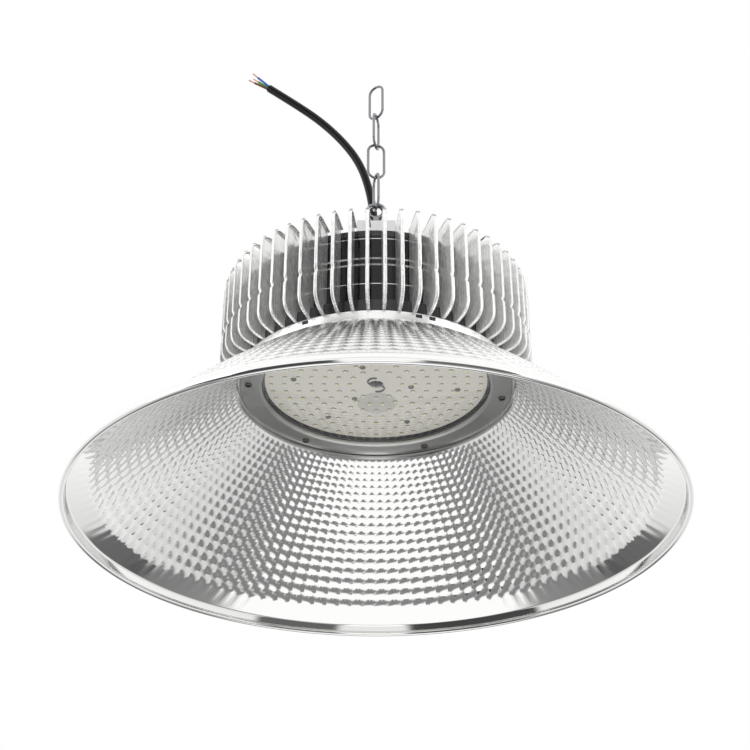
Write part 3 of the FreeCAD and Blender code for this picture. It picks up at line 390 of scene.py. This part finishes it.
# the recess's edge lies at radius * (mean + swing * cos 4a), which draws a cross
CROSS_MEAN, CROSS_SWING = 0.36, 0.14
RECESS_FLOOR, RECESS_TAPER, RECESS_TOP = 0.45, 0.8, 0.98
# the head's outline from its top face to its seat: shares of its radius and of its height
HEAD_OUTLINE = [(0.7, 0.95), (0.9, 0.72), (1.0, 0.4), (1.0, 0.0)]
# the head's height over its diameter, and the radius of the end caps over the head's
HEAD_HEIGHT, CAP_RADIUS = 0.26, 0.02
SCREW_CREASE = math.radians(35.0)


def recessed_screws(name, node, circle, count, start, seat, head, shank, length):
    """A ring of pan-head screws that point up, each with a cross recess in its head.

    A section of (share of the head's radius, share of its height) is turned about the screw.
    """
    angle = 2 * math.pi * np.arange(SCREW_STEPS) / SCREW_STEPS
    plain = np.ones(SCREW_STEPS)
    cross = CROSS_MEAN + CROSS_SWING * np.cos(4 * angle)
    radius, height = head / 2, HEAD_HEIGHT * head
    neck, tip = shank / head, -length / height
    rings = [(CAP_RADIUS * plain, RECESS_FLOOR), (RECESS_TAPER * cross, RECESS_FLOOR),
             (cross, RECESS_TOP)]
    rings += [(share * plain, lift) for share, lift in HEAD_OUTLINE]
    rings += [(neck * plain, 0.0), (neck * plain, tip), (CAP_RADIUS * plain, tip)]
    span = np.stack([share for share, _ in rings]) * radius
    drop = np.array([lift for _, lift in rings])[:, None] * height
    local = np.stack([span * np.cos(angle) + circle, span * np.sin(angle),
                      np.broadcast_to(seat - drop, span.shape)], axis=-1).reshape(-1, 3)
    turns = math.radians(start) + 2 * math.pi * np.arange(count) / count
    faces = repeated(loft_faces(len(rings), SCREW_STEPS), count, len(local))
    screws = make_object(name, set_round(local, turns), faces)
    screws.data.set_sharp_from_angle(angle=SCREW_CREASE)
    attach(screws, "root")
    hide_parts(node)
    return screws


# ---------------------------------------------------------------- materials
def colour(code):
    """sRGB hex to linear: c/12.92 below 0.04045, else ((c + 0.055) / 1.055)^2.4."""
    parts = [int(code[i:i + 2], 16) / 255 for i in (1, 3, 5)]
    return [c / 12.92 if c <= 0.04045 else ((c + 0.055) / 1.055) ** 2.4 for c in parts] + [1.0]


def add(tree, kind, sockets=None, **options):
    """Add a node: options are its settings, sockets are values or the outputs that feed it."""
    item = tree.nodes.new(kind)
    for name, value in options.items():
        setattr(item, name, value)
    for name, value in (sockets or {}).items():
        if isinstance(value, bpy.types.NodeSocket):
            tree.links.new(value, item.inputs[name])
        else:
            item.inputs[name].default_value = value
    return item


def new_material(name, **sockets):
    """A material with one Principled shader; keywords are its sockets, with _ for a space."""
    material = bpy.data.materials.new(name)
    material.use_nodes = True
    shader = material.node_tree.nodes["Principled BSDF"]
    for key, value in sockets.items():
        shader.inputs[key.replace("_", " ")].default_value = value
    return material, material.node_tree, shader


def object_place(tree):
    """The place on the object in metres."""
    return add(tree, "ShaderNodeTexCoord").outputs["Object"]


def roughness_spread(tree, shader, low, high, grain_mm, stretch=(1.0, 1.0, 1.0)):
    """Let roughness wander between two values with a noise of a real grain size."""
    place = add(tree, "ShaderNodeMapping", {"Vector": object_place(tree), "Scale": stretch})
    noise = add(tree, "ShaderNodeTexNoise",
                {"Vector": place.outputs[0], "Scale": 1 / (grain_mm * MM), "Detail": 3.0})
    spread = add(tree, "ShaderNodeMapRange",
                 {"Value": noise.outputs["Fac"], "From Min": 0.3, "From Max": 0.7,
                  "To Min": low, "To Max": high})
    tree.links.new(spread.outputs[0], shader.inputs["Roughness"])
    return noise


def bump(tree, shader, height, strength, distance_mm=0.1):
    """Feed a height into the shader's normal."""
    lift = add(tree, "ShaderNodeBump", {"Height": height, "Strength": strength,
                                        "Distance": distance_mm * MM})
    tree.links.new(lift.outputs[0], shader.inputs["Normal"])


def smooth_step(tree, value, start, end):
    """0 before start, 1 after end, with a soft change between them."""
    step = add(tree, "ShaderNodeMapRange", {"Value": value, "From Min": start, "From Max": end},
               interpolation_type="SMOOTHSTEP")
    return step.outputs[0]


def window(tree, value, low, high, soft):
    """1 between two values and 0 outside them, with soft edges."""
    rise = smooth_step(tree, value, low - soft, low + soft)
    fall = smooth_step(tree, value, high + soft, high - soft)
    return add(tree, "ShaderNodeMath", {0: rise, 1: fall}, operation="MULTIPLY").outputs[0]


def turning_lines(tree, spacing_mm):
    """Fine rings left by a lathe: noise along the radius and the height, none round the axis."""
    parts = add(tree, "ShaderNodeSeparateXYZ", {"Vector": object_place(tree)})
    flat = add(tree, "ShaderNodeCombineXYZ", {"X": parts.outputs["X"], "Y": parts.outputs["Y"]})
    radius = add(tree, "ShaderNodeVectorMath", {0: flat.outputs[0]}, operation="LENGTH")
    line = add(tree, "ShaderNodeCombineXYZ",
               {"X": radius.outputs["Value"], "Z": parts.outputs["Z"]})
    return add(tree, "ShaderNodeTexNoise",
               {"Vector": line.outputs[0], "Scale": 1 / (spacing_mm * MM), "Detail": 2.0})


def spun_aluminium():
    """Bright-dipped spun aluminium: a near mirror with faint spinning rings."""
    material, tree, shader = new_material(
        "spun_bright_dipped_aluminium", Base_Color=colour("#f1f1f0"), Metallic=1.0, Roughness=0.12)
    roughness_spread(tree, shader, 0.05, 0.09, 4.0)
    rings = turning_lines(tree, 0.9)
    bump(tree, shader, rings.outputs["Fac"], 0.06)
    return material


def bell_outside():
    """The bell's outer skin: the same sheet, left satin by pressing, so its shine is soft."""
    material, tree, shader = new_material(
        "spun_satin_aluminium", Base_Color=colour("#f4f4f3"), Metallic=1.0, Roughness=0.22)
    roughness_spread(tree, shader, 0.18, 0.27, 4.0)
    rings = turning_lines(tree, 0.9)
    bump(tree, shader, rings.outputs["Fac"], 0.05)
    return material


def satin_aluminium():
    """Lathe-turned aluminium, clear anodised: turning rings fan each light out across them."""
    material, tree, shader = new_material(
        "turned_satin_aluminium", Base_Color=colour("#cdcdcb"), Metallic=1.0, Roughness=0.34,
        Anisotropic=0.8)
    roughness_spread(tree, shader, 0.28, 0.38, 6.0)
    rings = turning_lines(tree, 0.5)
    bump(tree, shader, rings.outputs["Fac"], 0.2)
    along = add(tree, "ShaderNodeTangent", direction_type="RADIAL", axis="Z")
    tree.links.new(along.outputs[0], shader.inputs["Tangent"])
    return material


def bright_aluminium():
    """Stamped aluminium sheet, etched so that part of its shine is matt, buckled by the press."""
    material, tree, shader = new_material(
        "stamped_etched_aluminium", Base_Color=colour("#ececeb"), Metallic=0.65, Roughness=0.28)
    roughness_spread(tree, shader, 0.2, 0.32, 2.0, (1.0, 1.0, 0.05))
    buckle = add(tree, "ShaderNodeTexNoise",
                 {"Vector": object_place(tree), "Scale": 1 / (11 * MM), "Detail": 1.5})
    bump(tree, shader, buckle.outputs["Fac"], 0.8, 1.6)
    return material


def dark_steel():
    """Black-passivated screw steel, with brown-grey wear in random patches."""
    material, tree, shader = new_material(
        "black_passivated_steel", Base_Color=colour("#57524b"), Metallic=1.0, Roughness=0.3)
    wear = roughness_spread(tree, shader, 0.24, 0.42, 0.8)
    tones = add(tree, "ShaderNodeMix", {0: wear.outputs["Fac"], 6: colour("#3a3733"),
                                        7: colour("#8a8378")}, data_type="RGBA")
    tree.links.new(tones.outputs[2], shader.inputs["Base Color"])
    return material


def black_anodised():
    """Turned aluminium, dyed black in the anodising bath: half gloss with faint lathe rings."""
    material, tree, shader = new_material(
        "black_anodised_aluminium", Base_Color=colour("#0d0d0e"), Roughness=0.2, IOR=1.6)
    roughness_spread(tree, shader, 0.16, 0.28, 5.0)
    rings = turning_lines(tree, 0.6)
    bump(tree, shader, rings.outputs["Fac"], 0.15)
    return material


def zinc_steel():
    """Zinc-plated steel screws: bright, slightly blotched."""
    material, tree, shader = new_material(
        "zinc_plated_steel", Base_Color=colour("#c4c5c8"), Metallic=1.0, Roughness=0.25)
    roughness_spread(tree, shader, 0.2, 0.34, 1.5)
    return material


def bright_zinc():
    """Polished, nickel-bright plated steel wire of the chain and the eye."""
    material, tree, shader = new_material(
        "bright_plated_wire", Base_Color=colour("#8e8f92"), Metallic=1.0, Roughness=0.06)
    roughness_spread(tree, shader, 0.04, 0.09, 3.0)
    return material


def plated_strap():
    """Cold-rolled steel strip, zinc plated and satin grey, with faint rolling lines."""
    material, tree, shader = new_material(
        "satin_plated_strip", Base_Color=colour("#dcdcdd"), Metallic=1.0, Roughness=0.38)
    lines = roughness_spread(tree, shader, 0.32, 0.46, 1.0, (1.0, 0.08, 0.08))
    bump(tree, shader, lines.outputs["Fac"], 0.08)
    return material


# heights in millimetres of the painted highlights along the drum's raised lines and joints, and
# half of each highlight's width
DRUM_HIGHLIGHTS = [(161.0, 0.6), (180.0, 0.95), (186.0, 0.95), (205.4, 0.3), (209.5, 0.35)]
DRUM_HIGHLIGHT_SOFT = 0.15


def drum_enamel_with_painted_highlights():
    """Stoved gloss black enamel, with painted highlights: bright metal bands along its raised
    lines and joints.
    """
    material, tree, shader = new_material(
        "stoved_gloss_black_enamel", Base_Color=colour("#050506"), Roughness=0.08, IOR=1.5,
        Specular_IOR_Level=0.35)
    peel = roughness_spread(tree, shader, 0.06, 0.11, 2.5)
    bump(tree, shader, peel.outputs["Fac"], 0.12)
    parts = add(tree, "ShaderNodeSeparateXYZ", {0: object_place(tree)})
    # painted highlights: bright metallic bands at fixed heights stand in for the light caught on
    # the drum's lines
    painted_highlight = None
    for height, half in DRUM_HIGHLIGHTS:
        line = window(tree, parts.outputs["Z"], (height - half) * MM, (height + half) * MM,
                      DRUM_HIGHLIGHT_SOFT * MM)
        painted_highlight = line if painted_highlight is None else add(tree, "ShaderNodeMath", {0: painted_highlight, 1: line},
                                             operation="MAXIMUM").outputs[0]
    skin = add(tree, "ShaderNodeMix", {0: painted_highlight, 6: colour("#050506"), 7: colour("#e0e0df")},
               data_type="RGBA")
    tree.links.new(skin.outputs[2], shader.inputs["Base Color"])
    tree.links.new(painted_highlight, shader.inputs["Metallic"])
    return material


def clear_glass():
    """Flat toughened soda-lime glass, nearly colourless, with a long faint wave."""
    material, tree, shader = new_material(
        "toughened_clear_glass", Base_Color=colour("#fcfdfc"), Roughness=0.0, IOR=1.52,
        Transmission_Weight=1.0)
    wave = add(tree, "ShaderNodeTexNoise",
               {"Vector": object_place(tree), "Scale": 1 / (60 * MM), "Detail": 1.0})
    bump(tree, shader, wave.outputs["Fac"], 0.05)
    return material


LABEL_PLACE, LABEL_RADIUS, LABEL_SOFT = (0.8, 31.5), 17.5, 0.4


def led_board_mask():
    """White solder mask on the aluminium board, with one plain round patch a shade darker."""
    material, tree, shader = new_material(
        "white_solder_mask_board", Base_Color=colour("#e2ddd4"), Roughness=0.35, IOR=1.5)
    skin = roughness_spread(tree, shader, 0.3, 0.4, 1.5)
    bump(tree, shader, skin.outputs["Fac"], 0.05)
    place = add(tree, "ShaderNodeMapping", {"Vector": object_place(tree), "Location": (
        -LABEL_PLACE[0] * MM, -LABEL_PLACE[1] * MM, -BOARD_FACE * MM)})
    away = add(tree, "ShaderNodeVectorMath", {0: place.outputs[0]}, operation="LENGTH")
    patch = smooth_step(tree, away.outputs["Value"], (LABEL_RADIUS + LABEL_SOFT) * MM,
                        LABEL_RADIUS * MM)
    skin = add(tree, "ShaderNodeMix", {0: patch, 6: colour("#e2ddd4"), 7: colour("#c6c1ba")},
               data_type="RGBA")
    tree.links.new(skin.outputs[2], shader.inputs["Base Color"])
    return material


def plain_plastic(name, code, roughness, grain_mm, grain=0.1):
    """A moulded plastic or rubber: a dielectric with a fine moulded grain."""
    material, tree, shader = new_material(
        name, Base_Color=colour(code), Roughness=roughness, IOR=1.5)
    skin = roughness_spread(tree, shader, 0.85 * roughness, min(1.0, 1.15 * roughness), grain_mm)
    bump(tree, shader, skin.outputs["Fac"], grain)
    return material


def cord_rubber():
    """Extruded rubber sheath: black, half gloss, with faint lines and talc marks along it."""
    material, tree, shader = new_material(
        "extruded_black_rubber", Base_Color=colour("#050505"), Roughness=0.3, IOR=1.5,
        Specular_IOR_Level=0.3)
    marks = roughness_spread(tree, shader, 0.24, 0.36, 1.5, (1.0, 1.0, 0.2))
    bump(tree, shader, marks.outputs["Fac"], 0.12)
    return material


def bare_copper():
    """Twisted soft copper strands."""
    material, tree, shader = new_material(
        "bare_copper_strands", Base_Color=colour("#d08a5c"), Metallic=1.0, Roughness=0.25)
    strands = roughness_spread(tree, shader, 0.2, 0.35, 0.3)
    bump(tree, shader, strands.outputs["Fac"], 0.4)
    return material


FINISHES = {
    "spun_aluminium": spun_aluminium(),
    "satin_aluminium": satin_aluminium(),
    "zinc_steel": zinc_steel(),
    "clear_glass": clear_glass(),
    "grey_silicone": plain_plastic("moulded_grey_silicone", "#8f9090", 0.55, 0.8),
    "black_anodised": black_anodised(),
    "white_board": led_board_mask(),
    "phosphor": plain_plastic("yellow_phosphor_silicone", "#efe7b4", 0.4, 0.6),
    "dark_wire": plain_plastic("extruded_dark_pvc", "#3a3a3c", 0.4, 0.8),
    "bright_aluminium": bright_aluminium(),
    "gloss_black_paint": drum_enamel_with_painted_highlights(),
    "potting_case": plain_plastic("moulded_abs_driver_case", "#d9d9d6", 0.5, 0.9),
    "plated_strap": plated_strap(),
    "bright_zinc": bright_zinc(),
    "black_nylon": plain_plastic("moulded_black_nylon", "#17181a", 0.4, 0.7),
    "black_rubber": plain_plastic("moulded_black_rubber", "#101011", 0.6, 0.6, 0.2),
    "cord_rubber": cord_rubber(),
    "brown_core": plain_plastic("extruded_brown_pvc", "#5c3420", 0.35, 0.8),
    "blue_core": plain_plastic("extruded_blue_pvc", "#1f4f9e", 0.35, 0.8),
    "green_core": plain_plastic("extruded_green_pvc", "#3f8a35", 0.35, 0.8),
    "bare_copper": bare_copper(),
}


def dress_nodes():
    """Give every shown CAD node the finish that its record slot names."""
    slots = {part["node"]: part["material_slot"] for part in frame["record"]["subparts"]}
    for name, item in NODES.items():
        item.data.materials.clear()
        item.data.materials.append(FINISHES[slots[name]])


# ---------------------------------------------------------------- studio
# soft boxes: name, place, width and height in metres, watts, and whether metal mirrors them
SOFT_BOXES = [
    ("left_soft_box", (-1.5, -0.9, 0.5), (1.0, 1.4), 6.0, True),
    ("right_soft_box", (1.5, -0.9, 0.5), (1.0, 1.4), 5.0, True),
    ("top_soft_box", (0.0, 0.3, 1.6), (1.4, 1.4), 12.0, False),
    ("front_soft_box", (0.0, -1.9, -0.1), (1.2, 1.2), 24.0, False),
    ("low_soft_box", (0.0, -0.6, -0.95), (1.2, 0.8), 8.0, False),
]
SOFT_BOX_AIM = (0.0, 0.0, 0.12)
# cards that stand round the lamp: azimuths of both sides from the front (right is positive), the
# sines of the lower and upper edges' elevations, and how dark each is; below zero it is bright
CARDS = [
    (-66.0, -13.0, -0.72, 0.55, 0.93),
    (15.0, 48.0, -0.62, 0.56, 0.85),
    (140.0, 220.0, -0.74, -0.50, 0.8),
    (-12.0, 12.0, -0.72, -0.42, -1.0),
]
CARD_SOFT = 0.04
# tone of the pale room by height: the sine of the elevation, and the brightness there
STUDIO_TONES = [(-1.0, 1.0), (-0.91, 1.0), (-0.872, 0.26), (-0.77, 0.2), (-0.66, 0.64),
                (-0.4, 0.74), (0.0, 0.95), (0.955, 1.0), (0.99, 0.6), (1.0, 0.6)]
# brightness of the studio as metal and glass see it, over the white that the camera sees
STUDIO_GAIN = 1.12
# the even grey that lights matt surfaces
AMBIENT = 0.6
FLOOR_HALF, FLOOR_DEPTH = 6.0, -1.4


def area_light(name, place, size, power, mirrored):
    """A soft rectangular lamp, hidden from the camera, that faces the high bay light."""
    data = bpy.data.lights.new(name, "AREA")
    data.shape = "RECTANGLE"
    data.size, data.size_y = size
    data.energy = power
    lamp = bpy.data.objects.new(name, data)
    lamp.location = place
    away = np.array(place) - np.array(SOFT_BOX_AIM)
    flat = math.hypot(away[0], away[1])
    lamp.rotation_euler = (math.atan2(flat, away[2]), 0.0, math.atan2(away[0], -away[1]))
    lamp.visible_camera = False
    lamp.visible_glossy = mirrored
    bpy.context.collection.objects.link(lamp)


def card_shade(tree, azimuth, height, card):
    """The factor by which one card changes the room's tone in each direction."""
    left, right, low, high, dark = card
    middle, half = math.radians((left + right) / 2), math.radians((right - left) / 2)
    away = add(tree, "ShaderNodeMath", {0: azimuth, 1: middle}, operation="SUBTRACT")
    away = add(tree, "ShaderNodeMath", {0: away.outputs[0], 1: math.pi, 2: -math.pi},
               operation="WRAP")
    across = window(tree, away.outputs[0], -half, half, CARD_SOFT)
    up = window(tree, height, low, high, CARD_SOFT)
    inside = add(tree, "ShaderNodeMath", {0: across, 1: up}, operation="MULTIPLY")
    return add(tree, "ShaderNodeMath", {0: inside.outputs[0], 1: -dark, 2: 1.0},
               operation="MULTIPLY_ADD").outputs[0]


def studio_tone(tree):
    """What metal and glass see in each direction: a pale room with cards in it."""
    way = add(tree, "ShaderNodeTexCoord").outputs["Generated"]
    parts = add(tree, "ShaderNodeSeparateXYZ", {0: way})
    front = add(tree, "ShaderNodeMath", {0: parts.outputs["Y"], 1: -1.0}, operation="MULTIPLY")
    turn = add(tree, "ShaderNodeMath", {0: parts.outputs["X"], 1: front.outputs[0]},
               operation="ARCTAN2")
    rise = add(tree, "ShaderNodeMapRange", {"Value": parts.outputs["Z"], "From Min": -1.0,
                                            "From Max": 1.0})
    ramp = add(tree, "ShaderNodeValToRGB", {"Fac": rise.outputs[0]})
    stops = ramp.color_ramp.elements
    while len(stops) < len(STUDIO_TONES):
        stops.new(0.5)
    for stop, (height, tone) in zip(stops, STUDIO_TONES):
        stop.position = (height + 1) / 2
        stop.color = (tone, tone, tone, 1.0)
    tone = add(tree, "ShaderNodeMath", {0: ramp.outputs["Color"], 1: STUDIO_GAIN},
               operation="MULTIPLY").outputs[0]
    for card in CARDS:
        shade = card_shade(tree, turn.outputs[0], parts.outputs["Z"], card)
        tone = add(tree, "ShaderNodeMath", {0: tone, 1: shade}, operation="MULTIPLY").outputs[0]
    return tone


def add_world():
    """White to the camera, a pale room with cards to metal and glass, even grey to the rest."""
    world = bpy.data.worlds.new("studio")
    bpy.context.scene.world = world
    world.use_nodes = True
    tree = world.node_tree
    back = tree.nodes["Background"]
    path = add(tree, "ShaderNodeLightPath")
    plain = add(tree, "ShaderNodeMapRange", {"Value": path.outputs["Is Camera Ray"],
                                             "To Min": AMBIENT, "To Max": 1.0})
    mirrored = add(tree, "ShaderNodeMix", {0: path.outputs["Is Glossy Ray"],
                                           2: plain.outputs[0], 3: studio_tone(tree)})
    through = add(tree, "ShaderNodeMath", {0: mirrored.outputs[0],
                                           1: path.outputs["Is Transmission Ray"]},
                  operation="MAXIMUM")
    back.inputs["Color"].default_value = (1.0, 1.0, 1.0, 1.0)
    tree.links.new(through.outputs[0], back.inputs["Strength"])


def add_floor():
    """A plain pale floor far below the hanging lamp."""
    corners = [(-FLOOR_HALF, -FLOOR_HALF), (FLOOR_HALF, -FLOOR_HALF), (FLOOR_HALF, FLOOR_HALF),
               (-FLOOR_HALF, FLOOR_HALF)]
    points = np.array([(x, y, FLOOR_DEPTH) for x, y in corners])
    floor = make_object("floor", points, [(0, 1, 2, 3)], smooth=False)
    material, _, _ = new_material("pale_floor", Base_Color=colour("#e9e9e8"), Roughness=0.8)
    floor.data.materials.append(material)
    floor.visible_glossy = False
    floor.visible_transmission = False


def add_studio():
    """The room, its floor and its soft boxes, shown without a film look."""
    add_world()
    add_floor()
    for box in SOFT_BOXES:
        area_light(*box)
    bpy.context.scene.view_settings.view_transform = "Standard"


# ---------------------------------------------------------------- the whole scene
# name, node it replaces, circle, count, first angle, seat, head, shank and length
SCREW_RINGS = [
    ("bezel_screw_set", "bezel_screws", 107.5, 6, 6.0, 124.5, 6.3, 3.0, 12.0),
    ("board_screw_set", "board_screws_outer", 70.0, 6, 7.0, BOARD_FACE, 5.0, 2.5, 5.0),
    ("inner_board_screw_set", "board_screws_inner", 30.0, 3, 8.0, BOARD_FACE, 5.0, 2.5, 5.0),
]

add_camera()
add_cord().data.materials.append(FINISHES["cord_rubber"])
dress_nodes()
bell = embossed_bell()
bell.data.materials.append(FINISHES["spun_aluminium"])
bell.data.materials.append(bell_outside())
stamped_fins().data.materials.append(FINISHES["bright_aluminium"])
latch_tabs().data.materials.append(FINISHES["black_nylon"])
leds = led_packages()
# painted shade: the packages' side walls and bevel get a dark grey that stands in for their shadow
leds.data.materials.append(plain_plastic("led_edge_painted_shade", "#77746a", 0.4, 0.5))
leds.data.materials.append(plain_plastic("moulded_white_led_frame", "#f1f0ea", 0.4, 0.5))
leds.data.materials.append(FINISHES["phosphor"])
screw_steel = dark_steel()
for ring in SCREW_RINGS:
    recessed_screws(*ring).data.materials.append(screw_steel)
add_studio()
